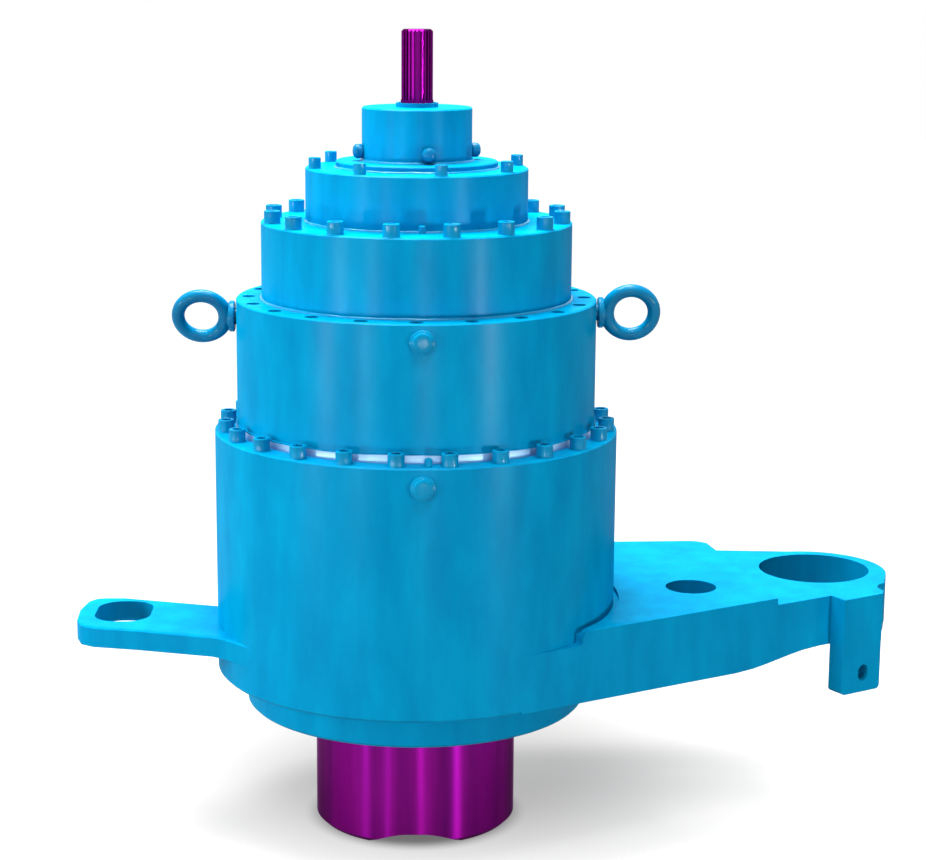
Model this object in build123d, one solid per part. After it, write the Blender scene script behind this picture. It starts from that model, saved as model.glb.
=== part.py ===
"""Three-stage planetary gearbox with a torque arm, standing on its output shaft.

Millimetres, +Z up along the gear axis. The origin is the centre of the output
shaft's end face, +X runs towards the torque arm and -Y towards the viewer.
Four stepped housings carry a spline input shaft at the top, three planetary
stages and a plain output shaft at the bottom. The gears are in mesh at rest.
"""

import os
from dataclasses import dataclass
from math import acos, cos, pi, radians, sin, sqrt, tan

from build123d import *

# Levels along the gear axis
COVER_BOTTOM_Z = 190.0
HOUSING_BOTTOM_Z = 242.0
STEP_3_Z = 608.0
STEP_2_Z = 803.0
STEP_1_Z = 916.5
STEP_0_Z = 995.0
INPUT_DISC_Z = 1005.0
INPUT_TOP_Z = 1082.5
INPUT_SHAFT_TOP_Z = 1194.0

# Outer radii of the stepped housings
HOUSING_R = 300.0
RING_3_R = 266.5
BAND_R = RING_3_R + 2.0
BAND_H = 13.0
RING_2_R = 229.0
RING_1_R = 163.5
INPUT_DISC_R = 119.0
INPUT_HOUSING_R = 80.7
COVER_R = 255.5
EDGE_CHAMFER = 2.0

# Joints between the housings: each flange is part of the housing above it
HOUSING_TOP_Z = STEP_3_Z - 50.0
RING_2_FOOT_Z = STEP_2_Z - 60.0
RING_1_FOOT_Z = STEP_1_Z - 25.0
INPUT_FOOT_Z = STEP_0_Z - 20.0

# Clearances and fits
RUN_CLEAR = 0.05
SEAL_CLEAR = 0.05

# Output shaft and its bearings
OUTPUT_R = 152.0
OUTPUT_LAND_Z = 194.0
OUTPUT_SEAL_R = 150.0
OUTPUT_CHAMFER = 7.0
OUTPUT_JOURNAL_R = 130.0
OUTPUT_THREAD_R = 125.0
OUTPUT_SPIGOT_R = 90.0
OUTPUT_SHOULDER_Z = 270.0
OUTPUT_SHOULDER_R = 146.0
BEARING_H = 75.0
BEARING_RACE_T = 20.0
OUTPUT_ROLLER_D = 30.0
BEARING_OUTER_R = OUTPUT_JOURNAL_R + 2 * BEARING_RACE_T + OUTPUT_ROLLER_D
UPPER_BEARING_Z = 480.0
NUT_H = 22.0
NUT_R = 148.0
NOTCH_WIDTH = 138.0
NOTCH_HEIGHT = 19.0
NOTCH_DEPTH = 46.0

# Planetary stages, one set of tooth counts for all three
SUN_TEETH = 12
PLANET_TEETH = 15
RING_TEETH = SUN_TEETH + 2 * PLANET_TEETH
PRESSURE_ANGLE = radians(25.0)
ADDENDUM = 0.8
DEDENDUM = 1.0
BACKLASH = 0.03
RING_SPACE_EXTRA = 0.12
PLANET_COUNT = 3
PLANET_SIDE_GAP = 0.5
CARRIER_GAP = 6.0

# Torque arm, seen from above, and the ear on the far side; a flare point is the
# distance out from the housing's wall and the angle counted from the viewer
ARM_TOP_Z = 348.5
ARM_NOSE_Z = 338.0
ARM_BASE_Z = HOUSING_BOTTOM_Z
ARM_NOSE_BASE_Z = 261.0
ARM_FRONT_DEG = 30.0
ARM_BACK_DEG = 2.6
ARM_BORE_XY = (640.0, 185.0)
ARM_BORE_R = 87.5
ARM_HOLE_XY = (424.0, 36.0)
ARM_HOLE_R = 39.0
ARM_NOSE_R = 107.0
ARM_STEP_FRONT_X = 555.0
ARM_STEP_BACK_X = 478.0
ARM_RISE_XY = (622.0, 12.0)
RISE_STEPS = (0.0, 0.2, 0.35, 0.5, 0.65, 0.8, 1.0)
ARM_RISE_DEG = 30.0
ARM_RISE_L = 160.0
ARM_NARROW_X = 500.0
ARM_NARROW_Y = 299.0
ARM_LEDGE_Z = 328.0
ARM_LEDGE_L = 104.0
ARM_GROOVE_XY = (8.0, -3.0)
ARM_GROOVE_DEPTH = 7.0
LUG_BASE_Z = 185.5
LUG_T = 31.0
LUG_W = 77.0
LUG_CORNER_XY = (656.0, -4.0)
LUG_DEG = 31.0
LUG_HOLE_W = 19.0
LUG_HOLE_H = 26.0
LUG_HOLE_Z = 216.0
NOSE_NOTCH_XY = (752.0, 71.0)
NOSE_NOTCH_R = 31.0
EAR_BASE_Z = 286.0
EAR_TOP_Z = 317.0
EAR_END_X = -510.0
EAR_BACK_Y = 82.0
EAR_FRONT_Y = -70.0
EAR_ROOT_BACK_Y = 28.0
EAR_FLARE = ((0.0, 52.0), (2.0, 56.0), (7.0, 60.5), (14.0, 64.0), (24.0, 67.0))
EAR_EDGE = 2.5
SLOT_CENTRE = (-444.0, 7.0)
SLOT_X = 84.0
SLOT_Y = 110.0
SLOT_CORNER_R = 36.0

# Fasteners: head radius, head height, socket across flats, socket depth
M16_HEAD = (12.0, 18.5, 14.0, 8.0)
M16_SUNK_HEAD = (12.0, 16.0, 14.0, 8.0)
M12_HEAD = (9.0, 17.5, 10.0, 6.0)
M12_SUNK_HEAD = (9.0, 12.0, 10.0, 6.0)
SUNK_MOUTH_R = 10.0
SUNK_DEPTH = 24.0
COVER_MOUTH_R = 13.5
COVER_SCREW_DEPTH = 19.0

# Lifting eyes (side, level and tilt in degrees for each), plugs and seals
EYE_RING_R = 35.0
EYE_SECTION_R = 9.8
EYE_COLLAR_R = 23.0
EYE_COLLAR_T = 9.0
EYE_GAP = 2.5
EYE_NECK_L = 5.0
EYE_COLLAR_START_R = RING_3_R + EYE_GAP
EYE_CENTRE_R = EYE_COLLAR_START_R + EYE_COLLAR_T + EYE_NECK_L + EYE_RING_R
EYE_SHANK_R = 12.0
EYE_RIGHT = (1, 780.6, 14.4)
EYE_LEFT = (-1, 773.0, -23.4)
OIL_PLUG_R = 18.0
OIL_PLUG_RIM_T = 4.0
OIL_PLUG_T = 9.0
OIL_PLUG_SEAT = 2.0
OIL_PLUG_DEG = 1.8
UPPER_OIL_PLUG_Z = 777.5
LOWER_OIL_PLUG_Z = 580.0
INPUT_PLUG_R = 10.5
INPUT_PLUG_GAP = 1.0
INPUT_PLUG_T = 14.5
INPUT_PLUG_Z = 1019.0
INPUT_PLUG_DEG = 11.5
INPUT_PLUG_DEPTH = 10.0
SEAL_W = 25.0
SEAL_OUTER_R = OUTPUT_SEAL_R + SEAL_W
SEAL_H = 22.0
SEAL_SINK = 6.0

# Input shaft
INPUT_JOURNAL_R = 25.0
INPUT_LAND_R = 24.0
INPUT_SPLINE_R = 23.0
INPUT_SPLINE_ROOT_R = 21.0
INPUT_SPLINE_TEETH = 24
INPUT_BEARING_R = 50.0
INPUT_BEARING_H = 20.0
INPUT_BEARING_Z = (988.0, 1044.0)
INPUT_COLLAR_R = 31.0
INPUT_COLLAR_TOP_Z = 1088.5


@dataclass(frozen=True)
class Circle:
    """A circle of fasteners; the first angle is counted from the viewer."""

    count: int
    radius: float
    first_deg: float


LOWER_SCREWS = Circle(24, HOUSING_R - 16.0, -5.6)
MIDDLE_SCREWS = Circle(16, RING_2_R - 14.0, -9.4)
UPPER_SCREWS = Circle(8, RING_1_R - 11.5, 13.0)
SUNK_SCREWS = Circle(20, RING_3_R - 18.0, 0.0)
COVER_SCREWS = Circle(8, COVER_R - 27.5, 22.5)
EYE_SHANK_L = EYE_COLLAR_START_R - SUNK_SCREWS.radius - SUNK_MOUTH_R - 1.0


@dataclass(frozen=True)
class Stage:
    """Sizes of one planetary stage; z_low to z_high is its face width."""

    module: float
    z_low: float
    z_high: float
    lower_plate: tuple
    upper_plate: tuple
    plate_r: float
    pin_r: float
    bush_t: float
    bore_r: float
    upper_bore_r: float
    sun_bore_r: float
    stem_r: float
    stem_top: float
    hub_r: float

    @property
    def centre(self):
        """Distance from the gear axis to a planet's axis."""
        return self.module * (SUN_TEETH + PLANET_TEETH) / 2


STAGE_3 = Stage(10.0, 622.0, 722.0, (588.0, 614.0), (730.0, 752.0), 190.0, 30.0, 6.0,
                222.0, 80.0, 0.0, 40.0, 807.0, OUTPUT_SPIGOT_R)
STAGE_2 = Stage(8.0, 814.0, 868.0, (788.0, 807.0), (873.0, 886.0), 152.0, 22.0, 5.0,
                178.0, 62.0, 0.0, 28.0, 918.0, 40.0)
STAGE_1 = Stage(5.5, 924.0, 958.0, (902.0, 918.0), (963.0, 972.0), 104.0, 14.0, 4.0,
                123.0, 43.0, 18.0, 0.0, 0.0, 28.0)
STAGES = {3: STAGE_3, 2: STAGE_2, 1: STAGE_1}


def disc(radius, z_low, z_high):
    """A solid cylinder on the gear axis between two levels."""
    base = Align.CENTER, Align.CENTER, Align.MIN
    return Pos(0, 0, z_low) * Cylinder(radius, z_high - z_low, align=base)


def broken_disc(radius, z_low, z_high):
    """A solid cylinder with its upper edge broken by the common chamfer."""
    return lathe([(0, z_low), (radius, z_low), (radius, z_high - EDGE_CHAMFER),
                  (radius - EDGE_CHAMFER, z_high), (0, z_high)])


def tube(outer, inner, z_low, z_high):
    """A ring on the gear axis between two levels."""
    return disc(outer, z_low, z_high) - disc(inner, z_low, z_high)


def lathe(points):
    """Turn a closed outline of (radius, level) points round the gear axis."""
    outline = Plane.XZ * Polyline(*points, close=True)
    return revolve(make_face(outline), Axis.Z, 360)


def prism(points, z_low, z_high):
    """Extrude a closed outline of (x, y) points between two levels."""
    outline = Pos(0, 0, z_low) * Polyline(*points, close=True)
    return extrude(make_face(outline), z_high - z_low)


def polar(radius, angle_deg):
    """A point at an angle counted from +X towards +Y."""
    return radius * cos(radians(angle_deg)), radius * sin(radians(angle_deg))


def from_front(radius, angle_deg):
    """A point at an angle counted from the viewer (-Y) towards +X."""
    return radius * sin(radians(angle_deg)), -radius * cos(radians(angle_deg))


def ring_of(circle):
    """Evenly spaced points on a circle of fasteners or rollers."""
    pitch = 360.0 / circle.count
    return [from_front(circle.radius, circle.first_deg + pitch * i) for i in range(circle.count)]


# Gear outlines


def involute(angle):
    """The involute function."""
    return tan(angle) - angle


def half_angle(teeth, module, radius, thinning):
    """Half of a tooth's angle at a radius, by the involute of the base circle."""
    base_r = module * teeth / 2 * cos(PRESSURE_ANGLE)
    local = acos(min(1.0, base_r / max(radius, base_r)))
    return pi / (2 * teeth) - thinning / teeth + involute(PRESSURE_ANGLE) - involute(local)


def gear_outline(teeth, module, phase_deg):
    """Outline of an external gear: root, pitch and tip points on each flank."""
    pitch_r = module * teeth / 2
    radii = (pitch_r - DEDENDUM * module, pitch_r, pitch_r + ADDENDUM * module)
    points = []
    for tooth in range(teeth):
        middle = radians(phase_deg) + 2 * pi * tooth / teeth
        flank = [(r, half_angle(teeth, module, r, BACKLASH)) for r in radii]
        points += [(r * cos(middle - a), r * sin(middle - a)) for r, a in flank]
        points += [(r * cos(middle + a), r * sin(middle + a)) for r, a in reversed(flank)]
    return points


def ring_gear_outline(module, phase_deg):
    """Outline of the hollow inside a ring gear; a tooth is centred on the phase."""
    pitch_r = module * RING_TEETH / 2
    radii = (pitch_r - ADDENDUM * module, pitch_r + DEDENDUM * module)
    points = []
    for space in range(RING_TEETH):
        middle = radians(phase_deg) + 2 * pi * (space + 0.5) / RING_TEETH
        flank = [(r, half_angle(RING_TEETH, module, r, -RING_SPACE_EXTRA)) for r in radii]
        points += [(r * cos(middle - a), r * sin(middle - a)) for r, a in flank]
        points += [(r * cos(middle + a), r * sin(middle + a)) for r, a in reversed(flank)]
    return points


def planet_phase(angle_deg):
    """Turn of a planet whose axis is at an angle, so that it meshes with the ring."""
    ring_pitches = angle_deg * RING_TEETH / 360.0
    return angle_deg - (ring_pitches + 0.5) * 360.0 / PLANET_TEETH


def sun_phase():
    """Turn of the sun, so that it meshes with the planets."""
    return PLANET_TEETH / 2 * 360.0 / SUN_TEETH


def planet_angles():
    """Directions of the planet axes, counted from +X."""
    return [360.0 * i / PLANET_COUNT for i in range(PLANET_COUNT)]


def planet(stage, angle_deg):
    """One planet gear with its running bore."""
    x, y = polar(stage.centre, angle_deg)
    outline = gear_outline(PLANET_TEETH, stage.module, planet_phase(angle_deg))
    gear = prism(outline, stage.z_low, stage.z_high)
    bore = disc(stage.pin_r + stage.bush_t + RUN_CLEAR, stage.z_low, stage.z_high)
    return Pos(x, y, 0) * (gear - bore)


def sun(stage):
    """A sun gear, bored for its shaft or made in one piece with its stem."""
    gear = prism(gear_outline(SUN_TEETH, stage.module, sun_phase()), stage.z_low, stage.z_high)
    if stage.sun_bore_r:
        return gear - disc(stage.sun_bore_r, stage.z_low, stage.z_high)
    return gear + disc(stage.stem_r, stage.z_high, stage.stem_top)


def carrier(stage):
    """Two plates joined by three posts, with a raised seat round each pin."""
    low, high = stage.lower_plate, stage.upper_plate
    body = disc(stage.plate_r, *low) + disc(stage.plate_r, *high)
    seat_r = stage.pin_r + stage.bush_t + stage.module * 0.6
    for angle in planet_angles():
        post_x, post_y = polar(stage.centre * 1.04, angle + 60)
        body += Pos(post_x, post_y, 0) * disc(stage.module * 3.7, low[1], high[0])
        x, y = polar(stage.centre, angle)
        body += Pos(x, y, 0) * disc(seat_r, low[1], stage.z_low - PLANET_SIDE_GAP)
        body += Pos(x, y, 0) * disc(seat_r, stage.z_high + PLANET_SIDE_GAP, high[0])
    for angle in planet_angles():
        x, y = polar(stage.centre, angle)
        body -= Pos(x, y, 0) * disc(stage.pin_r, low[0], high[1])
    return body - disc(stage.hub_r, *low) - disc(stage.upper_bore_r, *high)


def planet_pins(stage):
    """The three pins that carry a stage's planets."""
    places = [polar(stage.centre, angle) for angle in planet_angles()]
    pin = disc(stage.pin_r, stage.lower_plate[0], stage.upper_plate[1])
    return Compound(children=[Pos(x, y, 0) * pin for x, y in places])


def planet_bushes(stage):
    """The bearing bush on each planet pin."""
    places = [polar(stage.centre, angle) for angle in planet_angles()]
    bush = tube(stage.pin_r + stage.bush_t, stage.pin_r,
                stage.z_low - PLANET_SIDE_GAP, stage.z_high + PLANET_SIDE_GAP)
    return Compound(children=[Pos(x, y, 0) * bush for x, y in places])


def toothed_bore(stage, z_low, z_high):
    """The hollow of a ring gear: a plain bore with the teeth left standing in it."""
    hollow = disc(stage.bore_r, z_low, stage.z_low) + disc(stage.bore_r, stage.z_high, z_high)
    teeth = prism(ring_gear_outline(stage.module, 0.0), stage.z_low, stage.z_high)
    return hollow + teeth


# Housings


def ring_gear_3():
    """Third-stage ring gear with its foot flange and a bare turned band above it."""
    body = broken_disc(HOUSING_R, HOUSING_TOP_Z, STEP_3_Z) + disc(BAND_R, STEP_3_Z, STEP_3_Z + BAND_H)
    body += disc(RING_3_R, STEP_3_Z + BAND_H, RING_2_FOOT_Z)
    body -= toothed_bore(STAGE_3, HOUSING_TOP_Z, RING_2_FOOT_Z)
    return body - oil_plug_seat(HOUSING_R, LOWER_OIL_PLUG_Z)


def ring_gear_2():
    """Second-stage ring gear: its deep foot holds the sunk screws, the eyes and a plug."""
    body = broken_disc(RING_3_R, RING_2_FOOT_Z, STEP_2_Z) + disc(RING_2_R, STEP_2_Z, RING_1_FOOT_Z)
    body -= toothed_bore(STAGE_2, RING_2_FOOT_Z, RING_1_FOOT_Z)
    body -= disc(STAGE_3.bore_r, RING_2_FOOT_Z, STAGE_3.upper_plate[1] + CARRIER_GAP)
    for x, y in ring_of(SUNK_SCREWS):
        body -= Pos(x, y, 0) * disc(SUNK_MOUTH_R, STEP_2_Z - SUNK_DEPTH, STEP_2_Z)
    for side, level, _ in (EYE_RIGHT, EYE_LEFT):
        body -= eye_axis(side, level) * Cylinder(EYE_SHANK_R, 2 * (EYE_SHANK_L - EYE_GAP))
    return body - oil_plug_seat(RING_3_R, UPPER_OIL_PLUG_Z)


def ring_gear_1():
    """First-stage ring gear with its foot flange."""
    body = broken_disc(RING_2_R, RING_1_FOOT_Z, STEP_1_Z) + disc(RING_1_R, STEP_1_Z, INPUT_FOOT_Z)
    return body - toothed_bore(STAGE_1, RING_1_FOOT_Z, INPUT_FOOT_Z)


def arm_wall_y(x, front=True):
    """Level line of the arm's side: a line tangent to the round housing."""
    angle = radians(ARM_FRONT_DEG if front else ARM_BACK_DEG)
    side = -1 if front else 1
    touch_x = -side * HOUSING_R * sin(angle)
    touch_y = side * HOUSING_R * cos(angle)
    return touch_y + (x - touch_x) * tan(angle)


def arm_outline():
    """The arm from above: two tangent sides, a narrower neck and a round nose."""
    cx, cy = ARM_BORE_XY
    front_touch = from_front(HOUSING_R, ARM_FRONT_DEG)
    back_touch = (-HOUSING_R * sin(radians(ARM_BACK_DEG)), HOUSING_R * cos(radians(ARM_BACK_DEG)))
    corner = LUG_CORNER_XY
    along = polar(1.0, LUG_DEG)
    lug_right = (corner[0] + LUG_W * along[0], corner[1] + LUG_W * along[1])
    wall_end = (cx, arm_wall_y(cx))
    nose_right = (cx + ARM_NOSE_R - 1, cy - 48)
    nose_top = (cx - 22, cy + ARM_NOSE_R)
    neck = (ARM_NARROW_X, ARM_NARROW_Y)
    shoulder = (ARM_NARROW_X - 46, arm_wall_y(ARM_NARROW_X - 46, False))
    nose_mid = (cx + (ARM_NOSE_R + 1) * cos(radians(42)), cy + (ARM_NOSE_R + 1) * sin(radians(42)))
    lines = [
        Line(front_touch, wall_end), Line(wall_end, corner), Line(corner, lug_right),
        Line(lug_right, nose_right), ThreePointArc(nose_right, nose_mid, nose_top),
        Line(nose_top, neck), Spline(neck, shoulder, tangents=[(-1, 0.1), (-1, 0)]),
        Line(shoulder, back_touch), Line(back_touch, (0, 0)), Line((0, 0), front_touch),
    ]
    return make_face(Wire(lines))


def nose_cutter():
    """What is milled off the top beyond the arm's sloping step line."""
    front, back = (ARM_STEP_FRONT_X, -60.0), (ARM_STEP_BACK_X, 330.0)
    beyond = ARM_BORE_XY[0] + 2 * ARM_NOSE_R
    outline = [front, (beyond, front[1]), (beyond, back[1]), back]
    return prism(outline, ARM_NOSE_Z, ARM_TOP_Z + 1)


def ledge_cutter():
    """What is taken off the top where the front side runs into the round housing."""
    rise = ARM_TOP_Z - ARM_LEDGE_Z
    start, end, top = -HOUSING_R / 2, ARM_LEDGE_L, ARM_TOP_Z + 1
    profile = [(start, ARM_LEDGE_Z), (end - 3, ARM_LEDGE_Z), (end, ARM_LEDGE_Z + 3),
               (end + 1, ARM_LEDGE_Z + 0.65 * rise), (end + 4, ARM_TOP_Z - 2.5),
               (end + 10, ARM_TOP_Z), (end + 10, top), (start, top)]
    cut = extrude(make_face(Plane.XZ * Polyline(*profile, close=True)), 60, both=True)
    touch_x, touch_y = from_front(HOUSING_R, ARM_FRONT_DEG)
    return Pos(touch_x, touch_y, 0) * Rot(0, 0, ARM_FRONT_DEG) * cut


def underside_cutter():
    """The rise of the arm's underside towards the nose, along a slanting line."""
    rise, beyond = ARM_NOSE_BASE_Z - ARM_BASE_Z, 4 * ARM_NOSE_R
    slope = [(-(1 - t) * ARM_RISE_L, ARM_BASE_Z + rise * t * t * (3 - 2 * t)) for t in RISE_STEPS]
    profile = [(-ARM_RISE_L, ARM_BASE_Z - 1), *slope, (beyond, ARM_NOSE_BASE_Z), (beyond, ARM_BASE_Z - 1)]
    cut = extrude(make_face(Plane.XZ * Polyline(*profile, close=True)), beyond, both=True)
    return Pos(*ARM_RISE_XY, 0) * Rot(0, 0, ARM_RISE_DEG) * cut


def lug():
    """The plate that hangs from the front of the nose, with its oblong hole."""
    place = Pos(LUG_CORNER_XY[0], LUG_CORNER_XY[1], LUG_BASE_Z) * Rot(0, 0, LUG_DEG)
    low = Align.MIN, Align.MIN, Align.MIN
    plate = Box(LUG_W, LUG_T, ARM_NOSE_Z - LUG_BASE_Z, align=low)
    plate = fillet(plate.edges().filter_by(Axis.Y).group_by(Axis.Z)[0], 7)
    return place * plate


def lug_hole():
    """The oblong hole through the lug."""
    place = Pos(LUG_CORNER_XY[0], LUG_CORNER_XY[1], LUG_HOLE_Z) * Rot(0, 0, LUG_DEG)
    shape = SlotOverall(LUG_HOLE_H, LUG_HOLE_W, rotation=90)
    cut = extrude(Plane.XZ * shape, LUG_T + 20, both=True)
    return place * Pos(LUG_W / 2 + 4, LUG_T / 2, 0) * cut


def torque_arm():
    """The arm with its milled nose and hanging lug, before its bores are cut."""
    arm = extrude(Pos(0, 0, ARM_BASE_Z) * arm_outline(), ARM_TOP_Z - ARM_BASE_Z)
    arm -= nose_cutter()
    arm -= ledge_cutter()
    arm -= underside_cutter()
    arm -= Pos(*ARM_GROOVE_XY, 0) * disc(HOUSING_R, ARM_TOP_Z - ARM_GROOVE_DEPTH, ARM_TOP_Z)
    return arm + lug()


def arm_cutters():
    """Bores, the nose notch and the lug's hole."""
    low, high = ARM_BASE_Z - 5, ARM_TOP_Z + 5
    cutters = Pos(*ARM_BORE_XY, 0) * disc(ARM_BORE_R, low, high)
    cutters += Pos(*ARM_HOLE_XY, 0) * disc(ARM_HOLE_R, low, high)
    cutters += Pos(*NOSE_NOTCH_XY, 0) * disc(NOSE_NOTCH_R, low, high)
    return cutters + lug_hole()


def ear():
    """The slotted ear opposite the arm; its front side flares into the round housing."""
    root_x = -HOUSING_R + 30
    flare = [from_front(HOUSING_R + out, -angle) for out, angle in EAR_FLARE]
    outline = [
        (root_x / 2, flare[0][1]), *flare, (EAR_END_X + 96, -93),
        (EAR_END_X + 30, EAR_FRONT_Y - 8), (EAR_END_X + 10, EAR_FRONT_Y + 6), (EAR_END_X, EAR_FRONT_Y + 36),
        (EAR_END_X - 3, EAR_BACK_Y - 62), (EAR_END_X + 3, EAR_BACK_Y - 20), (EAR_END_X + 14, EAR_BACK_Y - 4),
        (EAR_END_X + 28, EAR_BACK_Y), (EAR_END_X + 58, EAR_BACK_Y), (root_x, EAR_ROOT_BACK_Y),
    ]
    plate = prism(outline, EAR_BASE_Z, EAR_TOP_Z)
    return chamfer(plate.faces().sort_by(Axis.Z)[-1].edges(), EAR_EDGE)


def ear_slot():
    """The opening through the ear."""
    shape = RectangleRounded(SLOT_X, SLOT_Y, SLOT_CORNER_R)
    return extrude(Pos(*SLOT_CENTRE, EAR_BASE_Z - 5) * shape, EAR_TOP_Z - EAR_BASE_Z + 10)


def output_housing():
    """The big lower housing, cast in one piece with the torque arm and the ear."""
    bearing_top = OUTPUT_SHOULDER_Z + BEARING_H
    body = lathe([
        (0, HOUSING_BOTTOM_Z), (HOUSING_R - 2 * EDGE_CHAMFER, HOUSING_BOTTOM_Z),
        (HOUSING_R, HOUSING_BOTTOM_Z + 2 * EDGE_CHAMFER), (HOUSING_R, HOUSING_TOP_Z), (0, HOUSING_TOP_Z),
    ])
    body = body + torque_arm() + ear()
    body -= disc(BEARING_OUTER_R, HOUSING_BOTTOM_Z, bearing_top)
    body -= disc(BEARING_OUTER_R - 12, bearing_top, UPPER_BEARING_Z)
    body -= disc(BEARING_OUTER_R, UPPER_BEARING_Z, UPPER_BEARING_Z + BEARING_H)
    body -= disc(STAGE_3.bore_r, UPPER_BEARING_Z + BEARING_H, HOUSING_TOP_Z)
    return body - arm_cutters() - ear_slot()


def output_seal_cover():
    """The stepped cover under the housing that holds the seal and the lower race."""
    spigot_top = OUTPUT_SHOULDER_Z
    seal_top = COVER_BOTTOM_Z + SEAL_SINK + SEAL_H
    body = lathe([
        (SEAL_OUTER_R, COVER_BOTTOM_Z), (COVER_R - 2 * EDGE_CHAMFER, COVER_BOTTOM_Z),
        (COVER_R, COVER_BOTTOM_Z + 2 * EDGE_CHAMFER), (COVER_R, HOUSING_BOTTOM_Z),
        (BEARING_OUTER_R, HOUSING_BOTTOM_Z), (BEARING_OUTER_R, spigot_top),
        (BEARING_OUTER_R - BEARING_RACE_T, spigot_top), (BEARING_OUTER_R - BEARING_RACE_T, seal_top + 8),
        (OUTPUT_R + 6, seal_top + 8), (OUTPUT_R + 6, seal_top), (SEAL_OUTER_R, seal_top),
    ])
    for x, y in ring_of(COVER_SCREWS):
        body -= Pos(x, y, 0) * disc(COVER_MOUTH_R, COVER_BOTTOM_Z, COVER_BOTTOM_Z + COVER_SCREW_DEPTH)
    return body


def output_seal():
    """The lip seal round the output shaft."""
    seal_top = COVER_BOTTOM_Z + SEAL_SINK + SEAL_H
    return tube(SEAL_OUTER_R, OUTPUT_SEAL_R + SEAL_CLEAR, seal_top - SEAL_H, seal_top)


def input_bearing_housing():
    """Flange, raised disc and tall neck round the input shaft's bearings."""
    low, high = INPUT_BEARING_Z
    body = broken_disc(RING_1_R, INPUT_FOOT_Z, STEP_0_Z)
    body += broken_disc(INPUT_DISC_R, STEP_0_Z, INPUT_DISC_Z)
    body += broken_disc(INPUT_HOUSING_R, INPUT_DISC_Z, INPUT_TOP_Z)
    body -= disc(INPUT_BEARING_R, INPUT_FOOT_Z, low + INPUT_BEARING_H)
    body -= disc(INPUT_BEARING_R - 7, low + INPUT_BEARING_H, high)
    body -= disc(INPUT_BEARING_R, high, high + INPUT_BEARING_H + 2)
    for angle in input_plug_angles():
        body -= on_wall(INPUT_HOUSING_R, angle, INPUT_PLUG_Z) * Cylinder(INPUT_PLUG_R - 4, 2 * INPUT_PLUG_DEPTH)
    return body - disc(INPUT_COLLAR_R, high + INPUT_BEARING_H + 2, INPUT_TOP_Z)


def input_seal_collar():
    """The small collar that stands out of the input housing round the shaft."""
    return tube(INPUT_COLLAR_R, INPUT_LAND_R + 3, INPUT_TOP_Z - 12, INPUT_COLLAR_TOP_Z)


def input_seal():
    """The lip seal inside the collar."""
    return tube(INPUT_LAND_R + 3, INPUT_LAND_R + SEAL_CLEAR, INPUT_TOP_Z - 10, INPUT_COLLAR_TOP_Z - 2)


# Shafts and bearings


def output_shaft():
    """The plain output shaft, notched at its end and stepped inside the housing."""
    seal_top = COVER_BOTTOM_Z + SEAL_SINK + SEAL_H + 12
    thread_z = UPPER_BEARING_Z + BEARING_H
    low, high = STAGE_3.lower_plate
    body = lathe([
        (0, 0), (OUTPUT_R - OUTPUT_CHAMFER, 0), (OUTPUT_R, OUTPUT_CHAMFER), (OUTPUT_R, OUTPUT_LAND_Z),
        (OUTPUT_SEAL_R, OUTPUT_LAND_Z), (OUTPUT_SEAL_R, seal_top),
        (OUTPUT_SHOULDER_R, seal_top), (OUTPUT_SHOULDER_R, OUTPUT_SHOULDER_Z),
        (OUTPUT_JOURNAL_R, OUTPUT_SHOULDER_Z), (OUTPUT_JOURNAL_R, thread_z),
        (OUTPUT_THREAD_R, thread_z), (OUTPUT_THREAD_R, low), (OUTPUT_SPIGOT_R, low),
        (OUTPUT_SPIGOT_R, high), (0, high),
    ])
    half = NOTCH_WIDTH / 2
    arch_r = (half ** 2 + NOTCH_HEIGHT ** 2) / (2 * NOTCH_HEIGHT)
    for side in (1, -1):
        middle = side * (OUTPUT_R - NOTCH_DEPTH + 60)
        arch = Pos(0, middle, NOTCH_HEIGHT - arch_r) * Rot(90, 0, 0) * Cylinder(arch_r, 120)
        body -= arch
    return body


def output_outer_races():
    """The fixed rings of the two output bearings."""
    inner = BEARING_OUTER_R - BEARING_RACE_T
    levels = (OUTPUT_SHOULDER_Z, UPPER_BEARING_Z)
    return Compound(children=[tube(BEARING_OUTER_R, inner, z, z + BEARING_H) for z in levels])


def output_inner_races():
    """The rings of the two output bearings that turn with the shaft."""
    outer = OUTPUT_JOURNAL_R + BEARING_RACE_T
    levels = (OUTPUT_SHOULDER_Z, UPPER_BEARING_Z)
    return Compound(children=[tube(outer, OUTPUT_JOURNAL_R, z, z + BEARING_H) for z in levels])


def roller_set(inner, outer, count, z_low, height):
    """Rollers evenly spaced between two races, with running clearance."""
    roller = disc((outer - inner) / 2 - RUN_CLEAR, z_low, z_low + height)
    places = ring_of(Circle(count, (outer + inner) / 2, 0.0))
    return [Pos(x, y, 0) * roller for x, y in places]


def output_rollers():
    """The rollers of the two output bearings."""
    inner = OUTPUT_JOURNAL_R + BEARING_RACE_T
    outer = BEARING_OUTER_R - BEARING_RACE_T
    rollers = []
    for z in (OUTPUT_SHOULDER_Z, UPPER_BEARING_Z):
        rollers += roller_set(inner, outer, 8, z + 8, BEARING_H - 16)
    return Compound(children=rollers)


def shaft_nut():
    """The round nut that clamps the inner races on the output shaft."""
    z_low = UPPER_BEARING_Z + BEARING_H
    return tube(NUT_R, OUTPUT_THREAD_R, z_low, z_low + NUT_H)


def bearing_spacer():
    """The sleeve between the two inner races."""
    return tube(OUTPUT_JOURNAL_R + 12, OUTPUT_JOURNAL_R, OUTPUT_SHOULDER_Z + BEARING_H, UPPER_BEARING_Z)


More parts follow.
